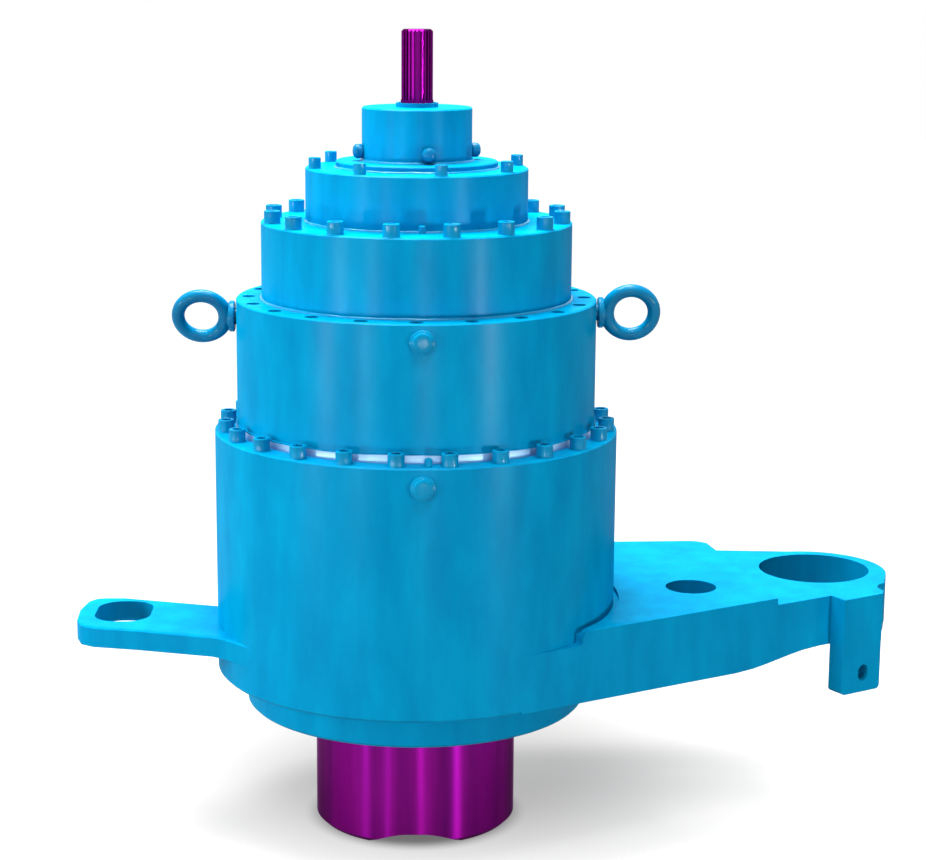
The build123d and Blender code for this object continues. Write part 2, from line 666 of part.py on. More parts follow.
def spline_outline(root_r, tip_r, teeth):
    """Outline of a straight spline: each tooth fills about half of its pitch."""
    points = []
    for tooth in range(teeth):
        middle = 360.0 * tooth / teeth
        points += [polar(root_r, middle - 98.0 / teeth), polar(tip_r, middle - 70.0 / teeth)]
        points += [polar(tip_r, middle + 70.0 / teeth), polar(root_r, middle + 98.0 / teeth)]
    return points


def input_shaft():
    """The input shaft: spline at the top, journals, and a spigot for the first sun."""
    land_z = INPUT_BEARING_Z[1] + INPUT_BEARING_H
    spline_z = INPUT_COLLAR_TOP_Z + 4
    body = disc(STAGE_1.sun_bore_r, STAGE_1.z_low - 3, STAGE_1.z_high)
    body += disc(INPUT_JOURNAL_R, STAGE_1.z_high, land_z)
    body += disc(INPUT_LAND_R, land_z, spline_z)
    outline = spline_outline(INPUT_SPLINE_ROOT_R, INPUT_SPLINE_R, INPUT_SPLINE_TEETH)
    cone = lathe([(0, spline_z), (INPUT_SPLINE_R + 1, spline_z), (INPUT_SPLINE_R + 1, INPUT_SHAFT_TOP_Z - 4),
                  (INPUT_SPLINE_ROOT_R - 1, INPUT_SHAFT_TOP_Z), (0, INPUT_SHAFT_TOP_Z)])
    return body + (prism(outline, spline_z, INPUT_SHAFT_TOP_Z) & cone)


def input_outer_races():
    """The fixed rings of the two input bearings."""
    inner = INPUT_BEARING_R - 7
    return Compound(children=[tube(INPUT_BEARING_R, inner, z, z + INPUT_BEARING_H) for z in INPUT_BEARING_Z])


def input_inner_races():
    """The rings of the two input bearings that turn with the shaft."""
    outer = INPUT_JOURNAL_R + 6
    return Compound(children=[tube(outer, INPUT_JOURNAL_R, z, z + INPUT_BEARING_H) for z in INPUT_BEARING_Z])


def input_rollers():
    """The rollers of the two input bearings."""
    rollers = []
    for z in INPUT_BEARING_Z:
        rollers += roller_set(INPUT_JOURNAL_R + 6, INPUT_BEARING_R - 7, 8, z + 3, INPUT_BEARING_H - 6)
    return Compound(children=rollers)


# Fasteners, plugs and lifting eyes


def cap_screw(head):
    """Head of a socket cap screw standing on level zero, socket upwards."""
    radius, height, across, depth = head
    socket = Pos(0, 0, height - depth) * extrude(RegularPolygon(across / sqrt(3), 6), depth)
    return disc(radius, 0, height) - socket


def screws(head, circle, z):
    """A circle of cap screws that stand on one level."""
    screw = cap_screw(head)
    return Compound(children=[Pos(x, y, z) * screw for x, y in ring_of(circle)])


def cover_screws():
    """The sunk screws that hold the seal cover from below."""
    screw = Rot(180, 0, 0) * cap_screw(M16_SUNK_HEAD)
    z = COVER_BOTTOM_Z + COVER_SCREW_DEPTH
    return Compound(children=[Pos(x, y, z) * screw for x, y in ring_of(COVER_SCREWS)])


def eye_axis(side, level):
    """Frame at the wall of the third ring gear: its Z runs out along the eye bolt."""
    return Pos(side * RING_3_R, 0, level) * Rot(0, 90 * side, 0)


def eye_bolt(side, level, tilt_deg):
    """A lifting eye: shank, collar and ring, the ring turned about the shank."""
    base = Align.CENTER, Align.CENTER, Align.MIN
    shank = Pos(0, 0, EYE_GAP - EYE_SHANK_L) * Cylinder(EYE_SHANK_R, EYE_SHANK_L, align=base)
    collar = Pos(0, 0, EYE_GAP) * Cylinder(EYE_COLLAR_R, EYE_COLLAR_T, align=base)
    neck = Pos(0, 0, EYE_GAP + EYE_COLLAR_T) * Cylinder(EYE_SECTION_R + 2, EYE_NECK_L + 4, align=base)
    loop = Pos(0, 0, EYE_CENTRE_R - RING_3_R) * Rot(90, 0, 0) * Torus(EYE_RING_R, EYE_SECTION_R)
    return eye_axis(side, level) * Rot(0, 0, tilt_deg) * (shank + collar + neck + loop)


def eye_bolts():
    """Both lifting eyes."""
    return Compound(children=[eye_bolt(*EYE_RIGHT), eye_bolt(*EYE_LEFT)])


def on_wall(radius, angle_deg, z):
    """Frame on a round wall at an angle from the viewer: its Z points outwards."""
    x, y = from_front(radius, angle_deg)
    return Pos(x, y, z) * Rot(0, 0, angle_deg) * Rot(90, 0, 0)


def oil_plug_seat(radius, z):
    """The flat pocket in a round wall that an oil plug sits in."""
    base = Align.CENTER, Align.CENTER, Align.MIN
    return on_wall(radius, OIL_PLUG_DEG, z) * Pos(0, 0, -OIL_PLUG_SEAT) * Cylinder(OIL_PLUG_R, 20, align=base)


def oil_plug(radius, z):
    """A round plug with a raised rim, seated in the wall."""
    base = Align.CENTER, Align.CENTER, Align.MIN
    body = Pos(0, 0, -OIL_PLUG_SEAT) * Cylinder(OIL_PLUG_R, OIL_PLUG_SEAT + OIL_PLUG_RIM_T, align=base)
    body += Pos(0, 0, OIL_PLUG_RIM_T) * Cylinder(OIL_PLUG_R - 4, OIL_PLUG_T - OIL_PLUG_RIM_T, align=base)
    return on_wall(radius, OIL_PLUG_DEG, z) * body


def oil_plugs():
    """The two oil plugs on the front."""
    upper = oil_plug(RING_3_R, UPPER_OIL_PLUG_Z)
    lower = oil_plug(HOUSING_R, LOWER_OIL_PLUG_Z)
    return Compound(children=[upper, lower])


def input_plug_angles():
    """Directions of the four input plugs, counted from the viewer."""
    return [INPUT_PLUG_DEG + 90 * i for i in range(4)]


def input_plug(angle_deg):
    """A domed plug in the neck of the input housing."""
    profile = [
        (0, -INPUT_PLUG_DEPTH), (INPUT_PLUG_R - 4, -INPUT_PLUG_DEPTH), (INPUT_PLUG_R - 4, INPUT_PLUG_GAP),
        (INPUT_PLUG_R, INPUT_PLUG_GAP), (INPUT_PLUG_R, INPUT_PLUG_T - 6),
        (INPUT_PLUG_R - 2.5, INPUT_PLUG_T - 2), (INPUT_PLUG_R - 6, INPUT_PLUG_T), (0, INPUT_PLUG_T),
    ]
    return on_wall(INPUT_HOUSING_R, angle_deg, INPUT_PLUG_Z) * lathe(profile)


def input_plugs():
    """The four plugs round the input housing's neck."""
    return Compound(children=[input_plug(angle) for angle in input_plug_angles()])


def build():
    """Every node by name."""
    nodes = {
        "output_housing": output_housing(),
        "output_seal_cover": output_seal_cover(),
        "output_seal": output_seal(),
        "output_outer_races": output_outer_races(),
        "output_inner_races": output_inner_races(),
        "output_rollers": output_rollers(),
        "output_shaft": output_shaft(),
        "bearing_spacer": bearing_spacer(),
        "shaft_nut": shaft_nut(),
        "ring_gear_3": ring_gear_3(),
        "ring_gear_2": ring_gear_2(),
        "ring_gear_1": ring_gear_1(),
        "input_bearing_housing": input_bearing_housing(),
        "input_seal_collar": input_seal_collar(),
        "input_seal": input_seal(),
        "input_outer_races": input_outer_races(),
        "input_inner_races": input_inner_races(),
        "input_rollers": input_rollers(),
        "input_shaft": input_shaft(),
        "lower_screws": screws(M16_HEAD, LOWER_SCREWS, STEP_3_Z),
        "middle_screws": screws(M16_HEAD, MIDDLE_SCREWS, STEP_1_Z),
        "upper_screws": screws(M12_HEAD, UPPER_SCREWS, STEP_0_Z),
        "sunk_screws": screws(M12_SUNK_HEAD, SUNK_SCREWS, STEP_2_Z - SUNK_DEPTH),
        "cover_screws": cover_screws(),
        "eye_bolts": eye_bolts(),
        "oil_plugs": oil_plugs(),
        "input_plugs": input_plugs(),
    }
    for number, stage in STAGES.items():
        nodes[f"sun_{number}"] = sun(stage)
        nodes[f"carrier_{number}"] = carrier(stage)
        nodes[f"planet_pins_{number}"] = planet_pins(stage)
        nodes[f"planet_bushes_{number}"] = planet_bushes(stage)
        for letter, angle in zip("abc", planet_angles()):
            nodes[f"planet_{number}{letter}"] = planet(stage, angle)
    return nodes


def main():
    """Write each node to its own STEP file."""
    os.makedirs("parts", exist_ok=True)
    for name, shape in build().items():
        export_step(shape, f"parts/{name}.step")


main()
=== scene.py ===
"""Looks of a stepped three-stage planetary gearbox with a torque arm.

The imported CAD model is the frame: its nodes keep their meshes and get finishes here.
Small pieces that need finer shapes, such as screw heads, lifting eyes and plugs, are
worked out with numpy and stand for their nodes. Shapes are worked out in millimetres
and turned to metres as their meshes are made; lamps, floor and sky are in metres.
"""

import logging
import math
from dataclasses import dataclass
from enum import Enum
from typing import Any, Sequence

import bmesh
import bpy
import numpy as np
from mathutils import Matrix, Vector


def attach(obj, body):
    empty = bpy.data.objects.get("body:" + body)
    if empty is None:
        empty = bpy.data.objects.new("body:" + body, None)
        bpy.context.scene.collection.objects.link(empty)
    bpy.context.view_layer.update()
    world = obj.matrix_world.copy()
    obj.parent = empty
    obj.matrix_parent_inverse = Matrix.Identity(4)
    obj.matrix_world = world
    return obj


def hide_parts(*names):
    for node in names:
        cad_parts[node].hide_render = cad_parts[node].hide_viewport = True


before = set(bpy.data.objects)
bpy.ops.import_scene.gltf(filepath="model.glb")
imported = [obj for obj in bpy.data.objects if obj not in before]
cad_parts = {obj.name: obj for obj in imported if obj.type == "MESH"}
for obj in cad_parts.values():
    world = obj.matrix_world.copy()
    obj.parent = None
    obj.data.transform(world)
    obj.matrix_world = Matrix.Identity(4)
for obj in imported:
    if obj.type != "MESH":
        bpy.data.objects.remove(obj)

LOG = logging.getLogger("gearbox")
MM = 0.001
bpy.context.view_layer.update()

Tree = bpy.types.NodeTree
Socket = bpy.types.NodeSocket
Triple = tuple[float, float, float]
Pair = tuple[float, float]

# The sRGB curve: a straight foot up to the knee, and a power above it.
SRGB_KNEE, SRGB_FOOT, SRGB_OFFSET, SRGB_POWER = 0.04045, 12.92, 0.055, 2.4
WHITE = (1.0, 1.0, 1.0, 1.0)
# Numbers of the mix node's colour sockets: its two inputs and its output.
MIX_FIRST, MIX_SECOND, MIX_RESULT = 6, 7, 2
# Points this close are merged, and edges this short are dissolved.
MERGE_MM, SLIVER_MM = 0.002, 0.001


# Nodes


def linear(hex_colour: str) -> tuple[float, float, float, float]:
    """Turn an sRGB hex colour into linear RGBA.

    Args:
        hex_colour: six hex digits after a hash sign.

    Returns:
        Red, green, blue and an alpha of one, all linear.
    """
    srgb = np.array([int(hex_colour[i : i + 2], 16) for i in (1, 3, 5)]) / 255.0
    power = ((srgb + SRGB_OFFSET) / (1.0 + SRGB_OFFSET)) ** SRGB_POWER
    rgb = np.where(srgb <= SRGB_KNEE, srgb / SRGB_FOOT, power)
    return (float(rgb[0]), float(rgb[1]), float(rgb[2]), 1.0)


def per_mm(size_mm: float) -> float:
    """Texture scale at which one feature measures that many millimetres."""
    return 1.0 / (size_mm * MM)


def add_node(tree: Tree, kind: str, sockets: dict[Any, Any] | None = None,
             **settings: Any) -> bpy.types.Node:
    """Add a node with its settings and links.

    Args:
        tree: the tree that gets the node.
        kind: Blender's name for the node's type.
        sockets: input name or number, to a value or to another node's output.
        settings: the node's own properties.

    Returns:
        The new node.
    """
    node = tree.nodes.new(kind)
    for name, value in settings.items():
        setattr(node, name, value)
    for name, value in (sockets or {}).items():
        if isinstance(value, bpy.types.NodeSocket):
            tree.links.new(value, node.inputs[name])
        else:
            node.inputs[name].default_value = value
    return node


def blank_material(name: str) -> tuple[bpy.types.Material, Tree]:
    """Make a material with an empty node tree."""
    material = bpy.data.materials.new(name)
    material.use_nodes = True
    material.node_tree.nodes.clear()
    return material, material.node_tree


def position(tree: Tree) -> Socket:
    """The object's own coordinates."""
    return add_node(tree, "ShaderNodeTexCoord").outputs["Object"]


def stretched(tree: Tree, where: Socket, scale: Triple) -> Socket:
    """Coordinates times a scale for each axis; a small scale draws the pattern out."""
    return add_node(tree, "ShaderNodeMapping", {"Vector": where, "Scale": scale}).outputs["Vector"]


def noise(tree: Tree, where: Socket, size_mm: float, detail: float,
          roughness: float = 0.5) -> Socket:
    """Cloudy noise about the middle of 0 to 1.

    Args:
        tree: the tree that gets the node.
        where: the coordinates.
        size_mm: how large one feature is.
        detail: how many finer layers are added.
        roughness: how strong the finer layers are.

    Returns:
        The noise.
    """
    sockets = {"Vector": where, "Scale": per_mm(size_mm), "Detail": detail,
               "Roughness": roughness}
    return add_node(tree, "ShaderNodeTexNoise", sockets).outputs["Fac"]


def ramp(tree: Tree, value: Socket, ends: Pair, to: Pair = (0.0, 1.0), **settings: Any) -> Socket:
    """Carry a value from between two ends over to between two others.

    Args:
        tree: the tree that gets the node.
        value: the value.
        ends: where it starts and stops to count.
        to: what it gives at these ends.
        settings: the node's own properties.

    Returns:
        The new value.
    """
    sockets = {"Value": value, "From Min": ends[0], "From Max": ends[1], "To Min": to[0],
               "To Max": to[1]}
    return add_node(tree, "ShaderNodeMapRange", sockets, **settings).outputs["Result"]


def blend(tree: Tree, share: Socket, first: str, second: str) -> Socket:
    """Mix two hex colours; a share of one gives the second."""
    sockets = {"Factor": share, MIX_FIRST: linear(first), MIX_SECOND: linear(second)}
    return add_node(tree, "ShaderNodeMix", sockets, data_type="RGBA").outputs[MIX_RESULT]


def relief(tree: Tree, height: Socket, strength: float, depth_mm: float,
           under: Socket | None = None) -> Socket:
    """Turn a height into relief.

    Args:
        tree: the tree that gets the node.
        height: the height, from 0 to 1.
        strength: how much of the relief shows.
        depth_mm: how deep it is.
        under: the relief that it lies on, if any.

    Returns:
        The normal.
    """
    sockets = {"Height": height, "Strength": strength, "Distance": depth_mm * MM}
    if under is not None:
        sockets["Normal"] = under
    return add_node(tree, "ShaderNodeBump", sockets).outputs["Normal"]


def worked_out(tree: Tree, operation: str, first: Socket, second: Socket) -> Socket:
    """One number out of two."""
    return add_node(tree, "ShaderNodeMath", {0: first, 1: second},
                    operation=operation).outputs["Value"]


# Points and meshes


def angles(columns: int) -> np.ndarray:
    """Evenly spaced angles that go once round, in radians."""
    return np.linspace(0.0, 2 * math.pi, columns, endpoint=False)


def around(turn_deg: float, distance: float, height: float) -> Triple:
    """A place round the gearbox: the turn is counted from the viewer's side towards +X."""
    turn = math.radians(turn_deg)
    return (distance * math.sin(turn), -distance * math.cos(turn), height)


def waved(angle: np.ndarray, waves: Sequence[Triple], start: float = 0.0) -> np.ndarray:
    """The start plus the sum of s sin(n a + p), for each wave (n, s, p) and angle a."""
    return sum((size * np.sin(count * angle + phase) for count, size, phase in waves), start)


def ringed(rings: Sequence[tuple[Any, Any]], angle: np.ndarray) -> np.ndarray:
    """Rings about the Z axis: point = (r cos a, r sin a, z), where r and z may vary with a.

    Args:
        rings: a radius and a height for each ring.
        angle: the angles.

    Returns:
        A grid of points with a row for each ring.
    """
    return np.stack([np.stack([r * np.cos(angle), r * np.sin(angle), z], -1) for r, z in rings])


def turned(profile: Sequence[Pair], columns: int) -> np.ndarray:
    """Surface of revolution: point = (r cos a, r sin a, z), for each (r, z) and angle a.

    Args:
        profile: (radius, height) pairs from one end to the other.
        columns: how many angles go round.

    Returns:
        A grid of points about the local Z axis.
    """
    return ringed([(radius, np.full(columns, height)) for radius, height in profile],
                  angles(columns))


def placed(points: np.ndarray, place: Matrix) -> np.ndarray:
    """Move a grid of points by a matrix in millimetres: p' = R p + t."""
    matrix = np.array(place, float)
    return points @ matrix[:3, :3].T + matrix[:3, 3]


def weave(points: np.ndarray) -> tuple[np.ndarray, np.ndarray]:
    """Turn a grid of points into vertices and quads.

    Quad (i, j) joins the grid's neighbours (i, j), (i, j+1), (i+1, j+1) and (i+1, j);
    the last column is joined to the first.

    Args:
        points: rows by columns by three, in millimetres.

    Returns:
        Vertices, n by three in metres, and quads, m by four.
    """
    rows, columns = points.shape[:2]
    index = np.arange(rows * columns).reshape(rows, columns)
    index = np.concatenate([index, index[:, :1]], axis=1)
    quads = np.stack([index[:-1, :-1], index[:-1, 1:], index[1:, 1:], index[1:, :-1]], axis=-1)
    return points.reshape(-1, 3) * MM, quads.reshape(-1, 4)


def add_object(name: str, data: bpy.types.ID) -> bpy.types.Object:
    """Make an object of a mesh, lamp or camera and put it in the scene."""
    made = bpy.data.objects.new(name, data)
    bpy.context.scene.collection.objects.link(made)
    return made


def make_piece(name: str, grids: Sequence[np.ndarray], material: bpy.types.Material,
               sharp_deg: float = 35.0) -> bpy.types.Object:
    """Make one mesh object out of closed grids, dress it and hang it on the housing.

    Args:
        name: the piece's name.
        grids: grids of points in millimetres, each closed once its doubles are merged.
        material: its finish.
        sharp_deg: edges bent by more than this stay sharp.

    Returns:
        The new object, with its place in its mesh.
    """
    vertices, faces, start = [], [], 0
    for grid in grids:
        points, quads = weave(grid)
        vertices.append(points)
        faces.append(quads + start)
        start += len(points)
    mesh = bpy.data.meshes.new(name)
    mesh.from_pydata(np.concatenate(vertices), [], np.concatenate(faces).tolist())
    shape = bmesh.new()
    shape.from_mesh(mesh)
    bmesh.ops.remove_doubles(shape, verts=shape.verts, dist=MERGE_MM * MM)
    bmesh.ops.dissolve_degenerate(shape, edges=shape.edges, dist=SLIVER_MM * MM)
    bmesh.ops.recalc_face_normals(shape, faces=shape.faces)
    shape.to_mesh(mesh)
    shape.free()
    mesh.shade_smooth()
    mesh.set_sharp_from_angle(angle=math.radians(sharp_deg))
    mesh.materials.append(material)
    piece = add_object(name, mesh)
    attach(piece, "housing")
    LOG.info("piece %s: %d faces", name, len(mesh.polygons))
    return piece


def dress(names: Sequence[str], material: bpy.types.Material) -> None:
    """Give CAD nodes a finish in their material slots.

    Args:
        names: the nodes.
        material: the finish.
    """
    for name in names:
        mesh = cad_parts[name].data
        if not mesh.materials:
            mesh.materials.append(material)
        for number in range(len(mesh.materials)):
            mesh.materials[number] = material
        LOG.info("node %s: %s", name, material.name)


# Finishes


class Ground(Enum):
    """What lies under the enamel."""

    TURNED = "turned"
    FORGED = "forged"


# How deep the sags and the ground's own grain stand in the enamel, in millimetres.
RELIEF_DEPTHS = {Ground.TURNED: (0.35, 0.05), Ground.FORGED: (0.1, 0.25)}


@dataclass(frozen=True)
class Enamel:
    """Two-pack machinery enamel, sprayed thick: an even blue that stands in faint sags.

    The pigment itself is matt and keeps its colour at every angle; a thin gloss film on
    top gives the highlights. The film is broken by orange peel and by soft vertical sags
    on the round walls; on forged ground the scale's grain still shows through the coat.
    """

    name: str
    ground: Ground
    colour: str = "#0095C4"
    deep: str = "#0081B2"
    film: float = 0.08
    film_roughness: float = 0.27
    peel_mm: float = 2.6
    sag_mm: float = 34.0
    sag_length_mm: float = 600.0
    grain_mm: float = 5.0
    mottle_mm: float = 45.0
    mottle_squash: float = 0.3
    mottle_ends: Pair = (0.3, 0.7)

    def build(self) -> bpy.types.Material:
        """Build the node tree: mottled colour, three layers of relief, one shader."""
        material, tree = blank_material(self.name)
        place = position(tree)
        tall = stretched(tree, place, (1.0, 1.0, self.mottle_squash))
        mottle = noise(tree, tall, self.mottle_mm, detail=5.0, roughness=0.62)
        colour = blend(tree, ramp(tree, mottle, self.mottle_ends), self.colour, self.deep)
        drawn_out = stretched(tree, place, (1.0, 1.0, self.sag_mm / self.sag_length_mm))
        sag = noise(tree, drawn_out, self.sag_mm, detail=2.0)
        peel = noise(tree, place, self.peel_mm, detail=1.0)
        grain = noise(tree, place, self.grain_mm, detail=4.0, roughness=0.65)
        sag_depth, grain_depth = RELIEF_DEPTHS[self.ground]
        skin = relief(tree, sag, strength=0.5, depth_mm=sag_depth)
        skin = relief(tree, peel, strength=0.35, depth_mm=0.06, under=skin)
        skin = relief(tree, grain, strength=0.5, depth_mm=grain_depth, under=skin)
        shader = add_node(tree, "ShaderNodeBsdfPrincipled",
                          {"Base Color": colour, "Roughness": 0.6, "Specular IOR Level": 0.0,
                           "Coat Weight": self.film, "Coat Roughness": self.film_roughness,
                           "Coat IOR": 1.48, "Normal": skin, "Coat Normal": skin})
        add_node(tree, "ShaderNodeOutputMaterial", {"Surface": shader.outputs["BSDF"]})
        return material


@dataclass(frozen=True)
class ShaftCoating:
    """Purple lacquer on a ground steel shaft: dark purple metal with long upright streaks.

    The grinding runs round the shaft, so a lamp's reflection is drawn out along it and
    stays narrow across it. Darker and lighter upright streaks in its colour are painted
    reflections along the shaft.
    """

    name: str = "purple_shaft_coating"
    colour: str = "#84087E"
    deep: str = "#46034C"
    edge_tint: str = "#A04AA0"
    roughness: float = 0.3
    ring_mm: float = 1.6
    ring_squash: float = 0.01
    streak_mm: float = 38.0
    streak_squash: float = 0.06
    streak_ends: Pair = (0.22, 0.78)

    def build(self) -> bpy.types.Material:
        """Build the node tree: colour streaked by painted reflections, rings in relief, a thin
        clear coat.
        """
        material, tree = blank_material(self.name)
        place = position(tree)
        # Painted reflection: upright streaks of darker and lighter purple in the colour.
        along = stretched(tree, place, (1.0, 1.0, self.streak_squash))
        reflection_streak = noise(tree, along, self.streak_mm, detail=3.0)
        colour = blend(tree, ramp(tree, reflection_streak, self.streak_ends), self.deep, self.colour)
        across = stretched(tree, place, (self.ring_squash, self.ring_squash, 1.0))
        ring = noise(tree, across, self.ring_mm, detail=2.0)
        skin = relief(tree, ring, strength=0.12, depth_mm=0.02)
        tangent = add_node(tree, "ShaderNodeTangent", direction_type="RADIAL", axis="Z")
        shader = add_node(tree, "ShaderNodeBsdfPrincipled",
                          {"Base Color": colour, "Metallic": 1.0, "Roughness": self.roughness,
                           "Normal": skin, "Anisotropic": 0.9, "Anisotropic Rotation": 0.25,
                           "Tangent": tangent.outputs["Tangent"],
                           "Specular Tint": linear(self.edge_tint), "Coat Weight": 0.05,
                           "Coat Roughness": 0.15})
        add_node(tree, "ShaderNodeOutputMaterial", {"Surface": shader.outputs["BSDF"]})
        return material


@dataclass(frozen=True)
class BareMetal:
    """Bare metal or rubber: rings of tool marks in relief under a cloudy tarnish.

    The surface is smoother than its roughness by one small step where the tarnish is
    thin, and rougher by another where it is thick.
    """

    name: str
    colour: str
    dull: str
    roughness: float
    mark_mm: float
    metallic: float = 1.0
    marks: Triple = (0.02, 0.02, 1.0)
    depth_mm: float = 0.04
    cloud_mm: float = 30.0
    smoother: float = 0.06
    rougher: float = 0.1

    def build(self) -> bpy.types.Material:
        """Build the node tree: cloudy tarnish, tool marks in relief, one shader."""
        material, tree = blank_material(self.name)
        place = position(tree)
        cloud = noise(tree, place, self.cloud_mm, detail=4.0, roughness=0.6)
        lay = stretched(tree, place, self.marks)
        mark = noise(tree, lay, self.mark_mm, detail=2.0)
        skin = relief(tree, mark, strength=0.4, depth_mm=self.depth_mm)
        gloss = ramp(tree, cloud, (0.0, 1.0),
                     (self.roughness - self.smoother, self.roughness + self.rougher))
        shader = add_node(tree, "ShaderNodeBsdfPrincipled",
                          {"Base Color": blend(tree, cloud, self.colour, self.dull),
                           "Metallic": self.metallic, "Roughness": gloss, "Normal": skin})
        add_node(tree, "ShaderNodeOutputMaterial", {"Surface": shader.outputs["BSDF"]})
        return material


@dataclass(frozen=True)
class Finishes:
    """Every finish of the gearbox, built once."""

    wall: bpy.types.Material
    bore: bpy.types.Material
    fastener: bpy.types.Material
    forging_with_painted_shade: bpy.types.Material
    bead: bpy.types.Material
    coating: bpy.types.Material
    gear: bpy.types.Material
    iron: bpy.types.Material
    bearing: bpy.types.Material
    bronze: bpy.types.Material
    seal: bpy.types.Material
    band: bpy.types.Material

    @staticmethod
    def build() -> "Finishes":
        """Build all finishes."""
        return Finishes(
            # An even satin blue with faint upright sags, on the big walls.
            wall=Enamel("cyan_enamel_on_iron", Ground.TURNED).build(),
            # A deeper blue on the bore walls: painted shade, for the shade that falls inside the
            # bores.
            bore=Enamel("cyan_enamel_with_painted_bore_shade", Ground.TURNED, colour="#00638A",
                        deep="#004C70").build(),
            # Small sharp glints on a slightly darker blue: the darker blue is painted shade, for
            # the shaded sides of screw heads and plugs.
            fastener=Enamel("cyan_enamel_on_forged_steel_with_painted_shade", Ground.FORGED, colour="#0090BE",
                            deep="#007DAA", film=0.2, film_roughness=0.14, sag_mm=9.0,
                            sag_length_mm=20.0, peel_mm=1.8, grain_mm=3.0).build(),
            # A deeper blue with the forge's grain in it, on eyes and plugs: the deeper blue is
            # painted shade, for the shade on their lower and front faces.
            forging_with_painted_shade=Enamel("cyan_enamel_on_forged_eyes_with_painted_shade", Ground.FORGED, colour="#0080AC",
                           deep="#006692", film=0.3, film_roughness=0.2, sag_mm=14.0,
                           sag_length_mm=30.0, peel_mm=2.0, grain_mm=3.5).build(),
            # A bright wet line where enamel has gathered in the corners.
            bead=Enamel("thick_cyan_enamel_bead", Ground.TURNED, film=0.7, film_roughness=0.12,
                        sag_mm=8.0, sag_length_mm=8.0).build(),
            # Dark purple metal with long upright glints, and painted reflections as upright
            # streaks in its colour.
            coating=ShaftCoating().build(),
            # Pale grey with a fine, even sheen, on the teeth.
            gear=BareMetal("ground_gear_steel", "#9A9DA0", "#84878B", 0.3, 1.2,
                           depth_mm=0.02).build(),
            # Dark matt grey with rings from the lathe.
            iron=BareMetal("turned_cast_iron", "#6E6F70", "#57585A", 0.46, 1.6).build(),
            # Nearly white and the smoothest, on races, rollers and pins.
            bearing=BareMetal("ground_bearing_steel", "#C2C4C6", "#ABADB0", 0.2, 0.8,
                              depth_mm=0.01).build(),
            # Warm brown-yellow metal, on the bushes.
            bronze=BareMetal("turned_bearing_bronze", "#B98A4A", "#96692F", 0.33, 1.0).build(),
            # Dull black that doesn't shine, on the seals.
            seal=BareMetal("moulded_nitrile_rubber", "#17181A", "#202123", 0.62, 1.4,
                           metallic=0.0).build(),
            # A pale strip between the blue walls: bare steel whose blue tint is a painted
            # reflection of the blue paint and the sky.
            band=BareMetal("bare_steel_band_with_painted_blue_reflection", "#A9CDEA", "#86B2DA", 0.4, 1.3,
                           metallic=0.8).build(),
        )


# Sub-assemblies


@dataclass(frozen=True)
class ScrewCircle:
    """A circle of socket cap screw heads, painted over after they were tightened.

    Angles are counted from the viewer's side (-Y) towards +X. The head's side carries a
    fine knurl that the enamel has half filled. Each head is turned by the same step more
    than the one before it, in radians, so that no two sockets look alike.
    """

    node: str
    count: int
    circle_r: float
    first_deg: float
    level: float
    head_r: float
    head_h: float
    across: float
    socket_depth: float
    knurls: int = 24
    columns_each: int = 3
    knurl_depth: float = 0.35
    chamfer: float = 1.2
    foot: float = 0.9
    socket_mouth: float = 0.6
    socket_foot: float = 0.5
    turn_step: float = 0.7
    upside_down: bool = False

    def head(self) -> np.ndarray:
        """One head standing on level zero.

        Rings are stacked from the paint foot up the knurled side, over the chamfer, in to
        the socket's edge and down its six sides: a side ring's radius is
        r - d (1 + cos(n a)) / 2, and a socket ring's radius is (w / 2) / cos(b), where b
        is the angle from the middle of the nearest flat. The factors in the list are
        shares of the foot, of the knurl and of the chamfer.

        Returns:
            The grid of points about the head's own axis.
        """
        angle = angles(self.knurls * self.columns_each)
        knurl = self.knurl_depth * (1 + np.cos(self.knurls * angle)) / 2
        flat = np.mod(angle, math.pi / 3) - math.pi / 6
        hexagon = self.across / 2 / np.cos(flat)
        side, foot, cut = self.head_r, self.foot, self.chamfer
        top, bottom = self.head_h, self.head_h - self.socket_depth
        rings = [
            (0.0, 0.0), (side + foot, 0.0), (side + foot * 0.25, foot * 0.5),
            (side - knurl * 0.3, foot * 1.5), (side - knurl, foot * 2.2),
            (side - knurl, top - cut * 1.8), (side - knurl * 0.2, top - cut * 1.1),
            (side - cut * 0.35, top - cut * 0.35), (side - cut, top),
            (hexagon + self.socket_mouth, top), (hexagon, top - self.socket_mouth),
            (hexagon, bottom + self.socket_foot), (hexagon - self.socket_foot, bottom),
            (0.0, bottom),
        ]
        return ringed([(radius, np.full_like(angle, z)) for radius, z in rings], angle)

    def places(self) -> list[Matrix]:
        """Where each head stands, turned a little differently, as screws end up."""
        flip = Matrix.Rotation(math.pi if self.upside_down else 0.0, 4, "X")
        found = []
        for number in range(self.count):
            angle_deg = self.first_deg + 360.0 * number / self.count
            spot = Matrix.Translation(around(angle_deg, self.circle_r, self.level))
            found.append(spot @ Matrix.Rotation(number * self.turn_step, 4, "Z") @ flip)
        return found

    def build(self, finish: bpy.types.Material) -> None:
        """Build the circle in place of its CAD node.

        Args:
            finish: the enamel on the heads, a slightly darker blue that is painted shade.
        """
        head = self.head()
        grids = [placed(head, place) for place in self.places()]
        piece = make_piece(self.node + "_heads", grids, finish)
        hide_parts(self.node)


